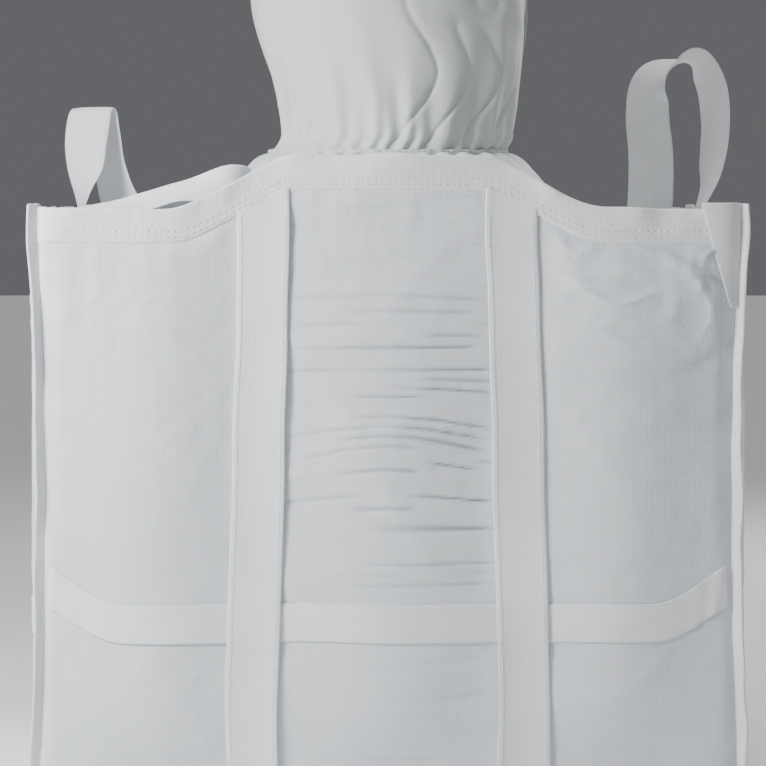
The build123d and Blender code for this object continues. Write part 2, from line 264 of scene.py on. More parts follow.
def seam(side, along):
    """Height of the top seam: raised in the middle of the front and back."""
    size = sizes()
    rise = size.middle_rise * (1 - smooth(np.abs(along), RAISED_FLAT, RAISED_END))
    return size.seam_height + np.where(np.asarray(side) % 2 == 0, rise, 0 * rise)


def roof(x, y):
    size = sizes()
    narrow = smooth(size.half_size - np.abs(y), 0, 0.110)
    start, end = RAISED_FLAT - 0.050 * narrow, RAISED_END - 0.090 * narrow
    middle = size.middle_rise * (1 - smooth(np.abs(x), start, end))
    cone = 1 - smooth(np.hypot(x, y), 0.170, 0.290)
    return size.seam_height + middle * (1 - cone) + (size.spout_foot - 0.0035 - size.seam_height) * cone


def grooves(side, along, height):
    """Sharp folds: level ones in the middle of a panel, and a fan from its upper right corner."""
    below = seam(side, along) - height
    place = np.abs(along)
    middle = 1 - smooth(place, 0.125, 0.148)
    seed = 10 * side
    zone = smooth(height, 0.20, 0.33) * (1 - smooth(height, 0.54, 0.68)) + 0.25
    toward = 0.45 + 0.55 * smooth(along, -0.10, 0.12)
    phase = height / 0.0150 + 1.2 * rumple(along / 0.20, height / 0.06, seed + 2)
    row = np.floor(phase)
    thick = 0.22 + 0.10 * rumple(along / 0.05, row * 3.1, seed + 13)
    line = np.clip(1 - np.abs(phase - row - 0.5) / thick, 0, 1)
    level = line * smooth(rumple(along / 0.085, row * 5.37, seed + 9), -0.05, 0.40)
    reach = sizes().half_size - place
    turn = np.arctan2(below - 0.10, reach + 0.03)
    far = np.hypot(reach, below - 0.10)
    fan = creases(turn * 4.5 + 7, far / 0.40, seed + 12) * np.exp(-far / 0.10)
    fan = fan * smooth(along, -0.1, 0.25) * smooth(far, 0.01, 0.04)
    return level * middle * zone * toward, fan


def wrinkles(side, along, height):
    """Folds of a filled side panel, flattened where webbing is sewn over it."""
    size = sizes()
    below = seam(side, along) - height
    place = np.abs(along)
    middle = 1 - smooth(place, 0.125, 0.150)
    seed = 10 * side
    level, fan = grooves(side, along, height)
    pleats = creases(along / 0.045, height / 0.9, seed + 1) * np.exp(-np.maximum(below, 0) / 0.07)
    gentle = 0.0010 * rumple(along / 0.20, height / 0.030, seed + 10) * middle
    broad = 0.0022 * rumple(along / 0.14 + 3, height / 0.20, seed + 3)
    slant = creases((along + 0.6 * height) / 0.15, (height - 0.5 * along) / 0.30, seed + 4)
    other = creases((along - 0.8 * height) / 0.18, (height + 0.4 * along) / 0.32, seed + 5)
    upper = smooth(height, 0.52, 0.64) * (1 - middle) * (0.35 + 0.65 * smooth(along, -0.1, 0.2))
    crumple = creases(along / 0.050, height / 0.032, seed + 6)
    crumple = crumple + creases(along / 0.09, height / 0.06, seed + 11)
    small = 0.0004 * rumple(along / 0.022, height / 0.020, seed + 7)
    folds = 0.0022 * pleats - 0.0034 * level - 0.0046 * fan + gentle + broad + 0.0013 * slant + 0.0011 * other
    folds = folds + 0.0034 * crumple * upper + small
    reach = size.half_size - place
    strap = smooth(np.abs(place - size.baffle_offset), 0.034, 0.050)
    band = smooth(np.abs(height - size.band_height - 0.3 * np.maximum(place - 0.36, 0)), 0.028, 0.045)
    edges = smooth(below, 0.002, 0.02) * smooth(height, 0.0, 0.03) * smooth(reach, 0.016, 0.04)
    tails = 1 - smooth(np.abs(place - size.leg_place), 0.033, 0.040)
    tails = 0.0007 * tails * smooth(height, size.seam_height - size.tail_length, 0.46)
    return folds * strap * band * edges + tails * smooth(below, 0.0, 0.01)


# Making a piece


def pick_nothing():
    if bpy.context.object and bpy.context.object.mode != "OBJECT":
        bpy.ops.object.mode_set(mode="OBJECT")
    bpy.ops.object.select_all(action="DESELECT")


def laid_sheet(name, columns, rows, place, joined=False):
    """A grid laid on a surface. place turns shares across and up into points and into metres of cloth
    across and up, which the weave follows, and may mark how deep a fold is, painted as crease shade."""
    pick_nothing()
    bpy.ops.mesh.primitive_grid_add(x_subdivisions=columns, y_subdivisions=rows, size=2)
    piece = bpy.context.object
    piece.name = piece.data.name = name
    mesh = piece.data
    flat = np.zeros(len(mesh.vertices) * 3)
    mesh.vertices.foreach_get("co", flat)
    flat = flat.reshape(-1, 3)
    points, cloth, *marks = place((flat[:, 0] + 1) / 2, (flat[:, 1] + 1) / 2)
    mesh.vertices.foreach_set("co", np.ascontiguousarray(points, float).ravel())
    corners = np.zeros(len(mesh.loops), int)
    mesh.loops.foreach_get("vertex_index", corners)
    mesh.uv_layers[0].name = "Cloth"
    mesh.uv_layers[0].data.foreach_set("uv", np.stack(cloth, axis=-1)[corners].ravel())
    # Each mark is painted shade: the material darkens the colour along it.
    for mark in marks:
        fold = mesh.attributes.new("CreaseShade", "FLOAT", "POINT")
        fold.data.foreach_set("value", np.clip(mark, 0, 1).astype(np.float32))
    mesh.update()
    if joined:
        bpy.ops.object.mode_set(mode="EDIT")
        bpy.ops.mesh.select_all(action="SELECT")
        bpy.ops.mesh.remove_doubles(threshold=0.0001)
        bpy.ops.object.mode_set(mode="OBJECT")
    bpy.ops.object.shade_smooth()
    return piece


def thicken(piece, thickness, offset=-1, levels=0):
    """Gives a sheet its thickness, and rounds its edges where levels are asked for."""
    pick_nothing()
    piece.select_set(True)
    bpy.context.view_layer.objects.active = piece
    wall_modifier = piece.modifiers.new("Thickness", "SOLIDIFY")
    wall_modifier.thickness = thickness
    wall_modifier.offset = offset
    bpy.ops.object.modifier_apply(modifier=wall_modifier.name)
    if levels:
        rounding = piece.modifiers.new("Rounding", "SUBSURF")
        rounding.levels = rounding.render_levels = levels
        bpy.ops.object.modifier_apply(modifier=rounding.name)
    bpy.ops.object.shade_smooth()
    return piece


def dress(piece, material, body="bag"):
    """Gives a piece its material and the body it rides on; a blended piece names no body."""
    piece.data.materials.clear()
    piece.data.materials.append(material)
    if body:
        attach(piece, body)
    return piece


def stitch_rows(name, rows, body="bag"):
    """Stitches along rows of points, all copies of one shaped stitch in one piece."""
    pick_nothing()
    bpy.ops.mesh.primitive_uv_sphere_add(segments=6, ring_count=4, radius=1)
    pattern = bpy.context.object
    bpy.ops.transform.resize(value=STITCH_SIZE)
    bpy.ops.object.transform_apply(location=True, rotation=True, scale=True)
    stitch = np.array([vertex.co for vertex in pattern.data.vertices])
    faces = [tuple(face.vertices) for face in pattern.data.polygons]
    bpy.ops.object.delete()
    points, polygons = [], []
    for row, normals in rows:
        run = row[1:] - row[:-1]
        steps = np.linalg.norm(run, axis=1, keepdims=True)
        ahead = run / np.maximum(steps, 1e-6)
        centre, normal = (row[1:] + row[:-1]) / 2, normals[:-1]
        beside = np.cross(normal, ahead)
        for place, along, aside, up in zip(centre, ahead, beside, normal):
            start = len(points) * len(stitch)
            points.append(place + stitch[:, :1] * along + stitch[:, 1:2] * aside + stitch[:, 2:] * up)
            polygons.extend(tuple(start + corner for corner in face) for face in faces)
    mesh = bpy.data.meshes.new(name)
    mesh.from_pydata(np.concatenate(points).tolist(), [], polygons)
    piece = bpy.data.objects.new(name, mesh)
    bpy.context.collection.objects.link(piece)
    pick_nothing()
    piece.select_set(True)
    bpy.context.view_layer.objects.active = piece
    bpy.ops.object.shade_smooth()
    return dress(piece, thread(), body)


def wall_row(side, along, height, out):
    """Points along a sewn line on one side, with the way out from the bag at each."""
    points = wall(side, along, height, out)
    normals = wall(side, along, height, out + 0.001) - points
    return points, normals / np.linalg.norm(normals, axis=1, keepdims=True)


# Shader maths written as expressions


class Amount:
    """One socket of a material; the usual operators add its Math nodes."""

    def __init__(self, paint, socket):
        self.paint, self.socket = paint, socket

    def __add__(self, other):
        return self.paint.math("ADD", self, other)

    def __radd__(self, other):
        return self.paint.math("ADD", other, self)

    def __sub__(self, other):
        return self.paint.math("SUBTRACT", self, other)

    def __rsub__(self, other):
        return self.paint.math("SUBTRACT", other, self)

    def __mul__(self, other):
        return self.paint.math("MULTIPLY", self, other)

    def __rmul__(self, other):
        return self.paint.math("MULTIPLY", other, self)

    def __truediv__(self, other):
        return self.paint.math("DIVIDE", self, other)

    def __rtruediv__(self, other):
        return self.paint.math("DIVIDE", other, self)

    def __pow__(self, other):
        return self.paint.math("POWER", self, other)

    def __abs__(self):
        return self.paint.math("ABSOLUTE", self)

    def sine(self):
        return self.paint.math("SINE", self)

    def clamped(self):
        return self.paint.math("MINIMUM", self.paint.math("MAXIMUM", self, 0), 1)


class Paint:
    """A material being mixed from procedural nodes."""

    def __init__(self, name):
        self.material = bpy.data.materials.new(name)
        self.material.use_nodes = True
        self.tree = self.material.node_tree
        self.surface = self.tree.nodes["Principled BSDF"]

    def node(self, kind, settings=None, inputs=None):
        node = self.tree.nodes.new(kind)
        for key, value in (settings or {}).items():
            setattr(node, key, value)
        for key, value in (inputs or {}).items():
            self.feed(node.inputs[key], value)
        return node

    def feed(self, socket, value):
        if isinstance(value, Amount):
            value = value.socket
        if isinstance(value, bpy.types.NodeSocket):
            self.tree.links.new(value, socket)
        else:
            socket.default_value = value

    def math(self, operation, *values):
        node = self.node("ShaderNodeMath", {"operation": operation}, dict(enumerate(values)))
        return Amount(self, node.outputs[0])

    def cloth(self):
        """Metres across and up the cloth of a piece."""
        where = self.node("ShaderNodeUVMap", {"uv_map": "Cloth"})
        parts = self.node("ShaderNodeSeparateXYZ", None, {0: where.outputs[0]})
        return Amount(self, parts.outputs[0]), Amount(self, parts.outputs[1])

    def place(self):
        return self.node("ShaderNodeTexCoord").outputs["Object"]

    def cloudy(self, scale, detail=3, stretch=None):
        """Noise over the object, from about 0 to 1."""
        where = self.place()
        if stretch:
            where = self.node("ShaderNodeMapping", None, {"Vector": where, "Scale": stretch}).outputs[0]
        inputs = {"Vector": where, "Scale": scale, "Detail": detail}
        return Amount(self, self.node("ShaderNodeTexNoise", None, inputs).outputs[0])

    def mix(self, share, first, second):
        node = self.node("ShaderNodeMix", {"data_type": "RGBA"}, {0: share, 6: first, 7: second})
        return node.outputs[2]

    def finish(self, base, roughness, height, depth, sheen=0.0, subsurface=0.0):
        bump = self.node("ShaderNodeBump", None, {"Height": height, "Distance": depth, "Strength": 1.0})
        self.feed(self.surface.inputs["Base Color"], base)
        self.feed(self.surface.inputs["Roughness"], roughness)
        self.feed(self.surface.inputs["Normal"], bump.outputs[0])
        self.surface.inputs["Sheen Weight"].default_value = sheen
        self.surface.inputs["Subsurface Weight"].default_value = subsurface
        return self.material


def shade(rgb, factor):
    return tuple(min(channel * factor, 1) for channel in rgb) + (1,)


def made_once(maker):
    """Keeps one copy of each material."""
    def get():
        name = maker.__name__
        return bpy.data.materials.get(name) or maker()
    return get


def woven(name, rgb, tape, sheen=0.15, weave_depth=0.0004, grime=0.5, subsurface=0.0):
    """Flat tapes woven over and under each other, with soft creases, light handling marks and painted shade
    along the marked folds.
    """
    paint = Paint(name)
    across, up = paint.cloth()
    across_wave = (across * (math.pi / tape)).sine()
    up_wave = (up * (math.pi / tape)).sine()
    warp, weft = abs(across_wave), abs(up_wave)
    over = (across_wave * up_wave) * 0.5 + 0.5
    weave = warp * over + weft * (1 - over)
    crumple = paint.cloudy(38, 5)
    fine = paint.cloudy(150, 3)
    grey = paint.cloudy(3.2, 4)
    streak = paint.cloudy(9, 3, stretch=(1, 1, 0.25))
    dirt = ((grey * 1.4 + streak * 0.6 - 0.95) * grime).clamped()
    base = paint.mix(weave * 0.35 + fine * 0.25, shade(rgb, 0.90), shade(rgb, 1.04))
    base = paint.mix(dirt, base, shade(rgb, 0.72))
    # Painted shade: the colour turns dark grey along the crease lines marked on the piece, where shadow falls
    # in the folds.
    fold = Amount(paint, paint.node("ShaderNodeAttribute", {"attribute_name": "CreaseShade"}).outputs["Fac"])
    base = paint.mix((fold * 0.62).clamped(), base, shade(rgb, 0.34))
    roughness = 0.52 + 0.18 * crumple + 0.1 * (1 - weave)
    height = weave * 0.35 + crumple * 1.6 + fine * 0.25
    return paint.finish(base, roughness, height, weave_depth * 2.5, sheen, subsurface)


@made_once
def body_cloth():
    return woven("body_cloth", colours().fabric, 0.0032)


@made_once
def spout_cloth():
    return woven("spout_cloth", colours().spout, 0.0024, 0.25, 0.00022, 0.3)


@made_once
def hem_cloth():
    return woven("hem_cloth", colours().webbing, 0.0028, 0.15, 0.0005, 0.25)


@made_once
def ribbed_webbing():
    """Ribbed webbing, its ribs along its length and its edges bound and a little worn."""
    paint = Paint("ribbed_webbing")
    rgb = colours().webbing
    across, up = paint.cloth()
    ribs = abs((across * (math.pi / 0.0034)).sine())
    picks = abs((up * (math.pi / 0.0022)).sine())
    chevron = abs(((up + abs((across * (math.pi / 0.0092)).sine()) * 0.004) * (math.pi / 0.0034)).sine())
    edge = (abs(across - 0.035) * (1 / 0.035)) ** 14
    fuzz = paint.cloudy(220, 2)
    grey = paint.cloudy(5, 4)
    dirt = ((grey * 1.5 + edge.clamped() * 0.25 - 0.72) * 0.8).clamped()
    base = paint.mix(ribs * 0.4 + chevron * 0.3, shade(rgb, 0.94), shade(rgb, 1.04))
    base = paint.mix(dirt, base, shade(rgb, 0.66))
    roughness = 0.62 + 0.2 * fuzz
    height = ribs * 0.9 + picks * 0.25 + chevron * 0.4 + fuzz * 0.3
    return paint.finish(base, roughness, height, 0.0002, 0.3)


@made_once
def thread():
    paint = Paint("thread")
    twist = paint.cloudy(900, 2)
    tone = paint.cloudy(6, 2)
    base = paint.mix(tone, shade(colours().thread, 0.8), shade(colours().thread, 1.05))
    return paint.finish(base, 0.6 + 0.2 * twist, twist, 0.0003, 0.2)


@made_once
def granules():
    paint = Paint("granules")
    cells = paint.node("ShaderNodeTexVoronoi", None, {"Vector": paint.place(), "Scale": 260})
    grain = Amount(paint, cells.outputs["Distance"])
    tone = paint.cloudy(90, 2)
    base = paint.mix(tone, shade(colours().granulate, 0.8), shade(colours().granulate, 1.1))
    return paint.finish(base, 0.45 + 0.2 * grain, 1 - grain, 0.003)


@made_once
def floor_finish():
    paint = Paint("floor_finish")
    tone = paint.cloudy(0.8, 3)
    base = paint.mix(tone, shade(colours().floor, 0.97), shade(colours().floor, 1.03))
    return paint.finish(base, 0.75 + 0.1 * tone, paint.cloudy(60, 2), 0.0004)


# Pieces


class Piece(bpy.types.Operator):
    bl_options = {"REGISTER", "UNDO"}

    def execute(self, context):
        self.make()
        return {"FINISHED"}


def around(share):
    """Side and place along it, for a share from 0 to 1 round the bag from its front left corner."""
    turn = np.clip(share, 0, 1) * 4
    side = np.minimum(np.floor(turn).astype(int), 3)
    return side, across_side(turn - side)


class BULKBAG_OT_load(Piece):
    """The granular load that fills the bag"""
    bl_idname = "bulk_bag.load"
    bl_label = "Load"

    def make(self):
        def place(across, up):
            side, along = around(across)
            inset = -0.013
            rise = np.clip((up - 0.15) / 0.55, 0, 1)
            height = 0.006 + rise * (seam(side, along) - 0.03)
            edge = wall(side, along, height, inset - 0.012 * (1 - smooth(height, 0, 0.05)))
            inward = np.clip((0.15 - up) / 0.15, 0, 1) + np.clip((up - 0.70) / 0.30, 0, 1)
            points = edge * (1 - inward)[:, None]
            top = roof(points[:, 0], points[:, 1]) - 0.012
            share = smooth(up, 0.70, 0.80)
            points[:, 2] = np.where(up > 0.70, height * (1 - share) + top * share, height)
            return points, (across * 4 * 0.96, up)

        piece = laid_sheet("load", 160, 60, place, joined=True)
        dress(piece, granules())
        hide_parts("bulk_fill")


class BULKBAG_OT_baffles(Piece):
    """Finish of the baffles inside the corners"""
    bl_idname = "bulk_bag.baffles"
    bl_label = "Baffles"

    def make(self):
        paint = Paint("baffle_weave")
        cells = paint.node("ShaderNodeTexWave", {"wave_type": "BANDS", "bands_direction": "Z"},
                           {"Vector": paint.place(), "Scale": 160.0})
        tapes = Amount(paint, cells.outputs[1])
        tone = paint.cloudy(12, 3)
        rgb = colours().fabric
        base = paint.mix(tapes * 0.4 + tone * 0.3, shade(rgb, 0.86), shade(rgb, 1.0))
        material = paint.finish(base, 0.6 + 0.15 * tone, tapes, 0.0004, 0.1)
        for corner in CORNERS:
            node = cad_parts[f"baffle_{corner}"]
            for slot in node.material_slots:
                slot.material = material


class BULKBAG_OT_panels(Piece):
    """The four woven side panels, drawn into lobes by the baffles"""
    bl_idname = "bulk_bag.panels"
    bl_label = "Side panels"

    def make(self):
        size = sizes()
        for side, name in enumerate(SIDE_NAMES):
            def place(across, up):
                along = across_side(across)
                height = 0.0015 + up * (seam(side, along) + 0.004 - 0.0015)
                out = 0.002 + wrinkles(side, along, height)
                level, fan = grooves(side, along, height)
                # Painted shade: the grooves also darken the cloth's colour along the creases, except over the
                # belly band.
                clear = smooth(np.abs(height - size.band_height), 0.026, 0.034)
                return wall(side, along, height, out), (along + 1, height), (level + fan) * clear

            piece = laid_sheet(f"{name}_side", 150, 300, place)
            thicken(piece, FABRIC_THICKNESS)
            dress(piece, body_cloth())
            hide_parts(f"{name}_panel")


class BULKBAG_OT_base(Piece):
    """The base, and the top panel drawn up to the spout"""
    bl_idname = "bulk_bag.base"
    bl_label = "Base and top panel"

    def make(self):
        size = sizes()

        def under(across, up):
            side, along = around(across)
            edge = wall(side, along, 0.0 * along, 0.0015 + 0 * along)
            points = edge * up[:, None]
            ripple = 0.0012 * (1 + rumple(points[:, 0] / 0.08, points[:, 1] / 0.08, 91))
            points[:, 2] = ripple * (1 - smooth(up, 0.9, 1.0))
            return points, (points[:, 0] + 1, points[:, 1] + 1)

        base = laid_sheet("base", 240, 60, under, joined=True)
        thicken(base, FABRIC_THICKNESS)
        dress(base, body_cloth())
        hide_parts("base_panel")

        def over(across, up):
            side, along = around(across)
            edge = wall(side, along, seam(side, along), 0.0 * along)
            angle = np.arctan2(edge[:, 1], edge[:, 0])
            circle = np.stack([np.cos(angle), np.sin(angle), 0 * angle], axis=-1) * size.spout_radius
            points = edge * (1 - up)[:, None] + circle * up[:, None]
            reach = np.hypot(points[:, 0], points[:, 1])
            inside = smooth(up, 0, 0.08)
            gathers = 0.5 + 0.5 * np.sin(34 * angle + 2 * rumple(angle * 3, 0, 71))
            folds = creases(points[:, 0] / 0.10, points[:, 1] / 0.07, 72) * 0.008
            folds = folds + creases(points[:, 0] / 0.045, points[:, 1] / 0.09, 73) * 0.004
            folds = folds + 0.006 * (1 + rumple(points[:, 0] / 0.09, points[:, 1] / 0.09, 74)) / 2
            near = 1 - smooth(reach, size.spout_radius, size.spout_radius + 0.09)
            lift = folds * (1 - near) + 0.005 * gathers * near * smooth(up, 0, 0.3)
            points[:, 2] = roof(points[:, 0], points[:, 1]) + 0.002 + lift * inside
            return points, (points[:, 0] + 1, points[:, 1] + 1)

        top = laid_sheet("top", 420, 70, over, joined=True)
        thicken(top, FABRIC_THICKNESS)
        dress(top, body_cloth())
        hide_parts("top_panel")


class BULKBAG_OT_hems(Piece):
    """The upstanding hem over the top seam, with its two rows of stitches"""
    bl_idname = "bulk_bag.hems"
    bl_label = "Top hems"

    def make(self):
        size = sizes()
        rows = []
        for side, name in enumerate(SIDE_NAMES):
            def hem_out(along, rise):
                wave = rumple(along / 0.075, 0.3 * rise, 31 + side)
                wave = wave + 0.6 * rumple(along / 0.03, rise, 35 + side)
                ends = smooth(size.half_size * CORNER_SHARE - np.abs(along), 0.0, 0.05)
                return 0.0034 + 0.0045 * wave * rise * ends

            def place(across, up):
                along = across_side(across)
                edge = 0.0022 * rumple(along / 0.06, 0, 41 + side)
                height = seam(side, along) - HEM_LAP + up * (size.hem_height + HEM_LAP + edge)
                return wall(side, along, height, hem_out(along, up)), (along + 1, height)

            piece = laid_sheet(f"{name}_hem", 150, 7, place)
            thicken(piece, 0.0032, levels=1)
            dress(piece, hem_cloth())
            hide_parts(f"top_hem_{name}")
            for rise in (0.16, 0.34):
                along = np.arange(-0.43, 0.43, STITCH_PITCH)
                height = seam(side, along) - HEM_LAP + rise * (size.hem_height + HEM_LAP)
                rows.append(wall_row(side, along, height, hem_out(along, rise) + 0.0002))
        stitch_rows("hem_stitches", rows)


class BULKBAG_OT_corners(Piece):
    """The seam flange standing out at each corner, ending in an ear above the hem"""
    bl_idname = "bulk_bag.corners"
    bl_label = "Corner seams"

    def make(self):
        size = sizes()
        top = size.seam_height + size.hem_height + 0.005
        limit = size.half_size * CORNER_SHARE
        for number, (name, ((x_sign, y_sign), *_)) in enumerate(CORNERS.items()):
            side = {(-1, -1): FRONT, (1, -1): RIGHT, (1, 1): BACK, (-1, 1): LEFT}[(x_sign, y_sign)]

            def place(across, up):
                height = 0.002 + up * (top - 0.002)
                reach = -0.004 + across * (0.0225 + 0.002 * rumple(height / 0.05, 0, 51 + number))
                start = wall(side, 0 * up - limit, height, 0 * up + reach)
                sway = 0.0035 * across * rumple(height / 0.06, 1, 61 + number)
                start[:, 0] += sway * y_sign
                start[:, 1] -= sway * x_sign
                return start, (reach + 1, height)

            piece = laid_sheet(f"{name}_corner", 4, 150, place)
            thicken(piece, 0.0038, offset=0, levels=1)
            dress(piece, hem_cloth())
            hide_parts(f"corner_seam_{name}")


class BULKBAG_OT_bands(Piece):
    """The belly band round the bag, puckered and swept up at its ends"""
    bl_idname = "bulk_bag.bands"
    bl_label = "Belly bands"

    def make(self):
        size = sizes()
        for side, name in enumerate(SIDE_NAMES):
            def place(across, up):
                along = (2 * across - 1) * 0.447
                end = smooth(np.abs(along), 0.345, 0.475)
                pucker = end * np.sin(along * 210 + 3 * rumple(along / 0.05, up, 21 + side))
                middle = size.band_height + 0.055 * end**1.2 + 0.002 * rumple(along / 0.1, 0, 25 + side)
                height = middle + (up - 0.5) * size.band_width * (1 + 0.12 * end)
                lap = 0.0006 * rumple(along / 0.05, up * 2, 27 + side)
                out = 0.0042 + lap + 0.0012 * pucker * (0.3 + np.abs(2 * up - 1))
                return wall(side, along, height, out), (up * size.webbing_width, along + 1)

            piece = laid_sheet(f"{name}_band", 180, 8, place)
            thicken(piece, 0.0018, levels=1)
            dress(piece, ribbed_webbing())
            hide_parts(f"belly_band_{name}")


class BULKBAG_OT_straps(Piece):
    """Vertical straps over the baffle seams, one edge of each standing a little proud"""
    bl_idname = "bulk_bag.straps"
    bl_label = "Vertical straps"

    def make(self):
        size = sizes()
        ends = {FRONT: ("left", "right"), BACK: ("right", "left"),
                RIGHT: ("front", "back"), LEFT: ("back", "front")}
        rows = []
        for side, name in enumerate(SIDE_NAMES):
            for sign, end in zip((-1, 1), ends[side]):
                seed = 80 + side * 2 + (sign > 0)
                strap_end = seam(side, sign * STRAP_TOP)

                def line(height, across):
                    lean = (STRAP_PLACE + 0.005 * np.sin(height * 7 + 1.3)
                            - 0.013 * smooth(height, 0.45, 0.75))
                    width = size.webbing_width * (1 + 0.03 * rumple(height / 0.12, 2, seed))
                    return sign * lean + (across - 0.5) * width + 0.0015 * rumple(height / 0.09, 0, seed)

                def out(height, across):
                    inner = across if sign < 0 else 1 - across
                    proud = 0.0050 * inner**3 * (0.55 + 0.45 * rumple(height / 0.12, 0, seed + 20))
                    band = 0.0018 * (1 - smooth(np.abs(height - size.band_height), 0.026, 0.05))
                    tuck = 0.0032 * smooth(height, strap_end - 0.03, strap_end)
                    wave = 0.0005 * rumple(height / 0.05, across * 2, seed + 40)
                    return 0.0058 + proud + band + wave - tuck

                def place(across, up):
                    top = seam(side, line(0.72, across)) + 0.001
                    height = 0.004 + up * (top - 0.004)
                    along = line(height, across)
                    cloth = (across * size.webbing_width, height)
                    return wall(side, along, height, out(height, across)), cloth

                piece = laid_sheet(f"{name}_{end}_strap", 10, 150, place)
                thicken(piece, size.webbing_thickness, levels=1)
                dress(piece, ribbed_webbing())
                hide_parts(f"vertical_strap_{name}_{end}")
                for across in (0.09, 0.91):
                    height = np.arange(0.012, strap_end - 0.012, SEAM_PITCH)
                    rows.append(wall_row(side, line(height, across), height, out(height, across) + 0.0002))
        stitch_rows("strap_stitches", rows)


class BULKBAG_OT_loops(Piece):
    """Lifting loops, each one length of webbing from tail to tail"""
    bl_idname = "bulk_bag.loops"
    bl_label = "Lifting loops"

    def make(self):
        rows = []
        for name in CORNERS:
            self.loop(name, rows)
        stitch_rows("tail_stitches", rows)

    def loop(self, name, rows):
        size = sizes()
        (x_sign, y_sign), first, second = CORNERS[name]
        tail_top = size.seam_height + 0.012
        tail_low = size.seam_height - size.tail_length
        tail_out = -0.0010 - size.webbing_thickness / 2

        def on_side(side, height):
            along = {FRONT: x_sign, RIGHT: y_sign, BACK: -x_sign, LEFT: -y_sign}[side] * size.leg_place
            point = wall(side, along + 0 * height, height, tail_out + 0 * height)
            beside = wall(side, along + 0.001 + 0 * height, height, tail_out + 0 * height) - point
            return point, beside / np.linalg.norm(beside, axis=1, keepdims=True)

        heights = np.linspace(tail_low, tail_top, 8)
        start, start_width = on_side(first, heights)
        finish, finish_width = on_side(second, heights[::-1])
        free = np.array([place for place, _ in LOOPS[name]])
        free_width = np.array([direction for _, direction in LOOPS[name]], float)
        start_width = start_width * np.sign(start_width[-1] @ free_width[0])
        finish_width = finish_width * np.sign(finish_width[0] @ free_width[-1])
        knots = np.concatenate([start, free, finish])
        knot_width = np.concatenate([start_width, free_width, finish_width])
        line = self.eased(knots, 12)
        width = self.eased(knot_width, 12)
        run = np.gradient(line, axis=0)
        run = run / np.linalg.norm(run, axis=1, keepdims=True)
        width = width - run * np.sum(width * run, axis=1, keepdims=True)
        width = width / np.linalg.norm(width, axis=1, keepdims=True)
        steps = np.linalg.norm(np.diff(line, axis=0), axis=1)
        gone = np.concatenate([[0], np.cumsum(steps)])

        def place(across, along):
            measure = along * gone[-1]
            centre = np.stack([np.interp(measure, gone, line[:, axis]) for axis in range(3)], axis=-1)
            side = np.stack([np.interp(measure, gone, width[:, axis]) for axis in range(3)], axis=-1)
            ahead = np.stack([np.interp(measure, gone, run[:, axis]) for axis in range(3)], axis=-1)
            loose = smooth(measure, size.tail_length + 0.03, size.tail_length + 0.09)
            loose = loose * smooth(gone[-1] - measure, size.tail_length + 0.03, size.tail_length + 0.09)
            face = np.cross(side, ahead)
            cup = loose * 0.004 * (2 * across - 1) ** 2
            cup = cup + loose * 0.0022 * rumple(measure / 0.035, across * 2, 7)
            points = centre + side * ((across - 0.5) * size.webbing_width)[:, None] + face * cup[:, None]
            return points, (across * size.webbing_width, measure)

        piece = laid_sheet(f"{name}_loop", 8, 150, place)
        thicken(piece, size.webbing_thickness, offset=0, levels=1)
        dress(piece, ribbed_webbing(), body=None)
        nodes = [f"loop_tail_{name}_end", f"loop_tail_{name}_side", f"lifting_loop_{name}"]
        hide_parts(*nodes)
        inward = Vector((-x_sign, -y_sign, 0)).normalized()
        lying = name.startswith("front")
        way = (inward + Vector((0, 0, 0.35))).normalized() if lying else Vector((0, 0, 1))
        hinge = Vector((x_sign * LOOP_HINGE, y_sign * LOOP_HINGE, size.seam_height + size.hem_height))
        begin = hinge + way * (0.026 if lying else -0.002)
        tuple(begin + way * 0.05)
        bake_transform(piece)
        for side in (first, second):
            if side == FRONT:
                continue
            sign = {FRONT: x_sign, RIGHT: y_sign, BACK: -x_sign, LEFT: -y_sign}[side]
            for offset in (-0.030, 0.030):
                height = np.arange(tail_low + 0.008, size.seam_height - 0.012, SEAM_PITCH)
                along = sign * size.leg_place + offset + 0 * height
                out = 0.0021 + wrinkles(side, along, height)
                rows.append(wall_row(side, along, height, out))
            for level in (0.008, 0.018, 0.120):
                along = sign * size.leg_place + np.arange(-0.030, 0.031, STITCH_PITCH)
                height = tail_low + level + 0 * along
                rows.append(wall_row(side, along, height, 0.0021 + wrinkles(side, along, height)))

    @staticmethod
    def eased(knots, steps):
        """A smooth line through a row of points."""
        padded = np.concatenate([2 * knots[:1] - knots[1:2], knots, 2 * knots[-1:] - knots[-2:-1]])
        share = np.linspace(0, 1, steps, endpoint=False)[:, None]
        pieces = []
        for before, start, end, after in zip(padded, padded[1:], padded[2:], padded[3:]):
            curve = (2 * start + (end - before) * share
                     + (2 * before - 5 * start + 4 * end - after) * share**2
                     + (3 * start - before - 3 * end + after) * share**3)
            pieces.append(curve / 2)
        return np.concatenate(pieces + [knots[-1:]])


class BULKBAG_OT_patch(Piece):
    """The reinforcing patch on the front right corner"""
    bl_idname = "bulk_bag.patch"
    bl_label = "Corner patch"

    def make(self):
        size = sizes()
        low, high = size.seam_height - 0.090, size.seam_height + size.hem_height + 0.006

        def place(across, up):
            height = low + up * (high - low)
            inner = 0.447 - 0.038 * up
            along = inner + across * (0.4545 - inner)
            out = 0.0062 + 0.0006 * rumple(along / 0.02, height / 0.03, 95)
            return wall(FRONT, along, height, out), (across * 0.05, height)

        piece = laid_sheet("corner_patch", 10, 40, place)
        thicken(piece, 0.0022, levels=1)
        dress(piece, ribbed_webbing())


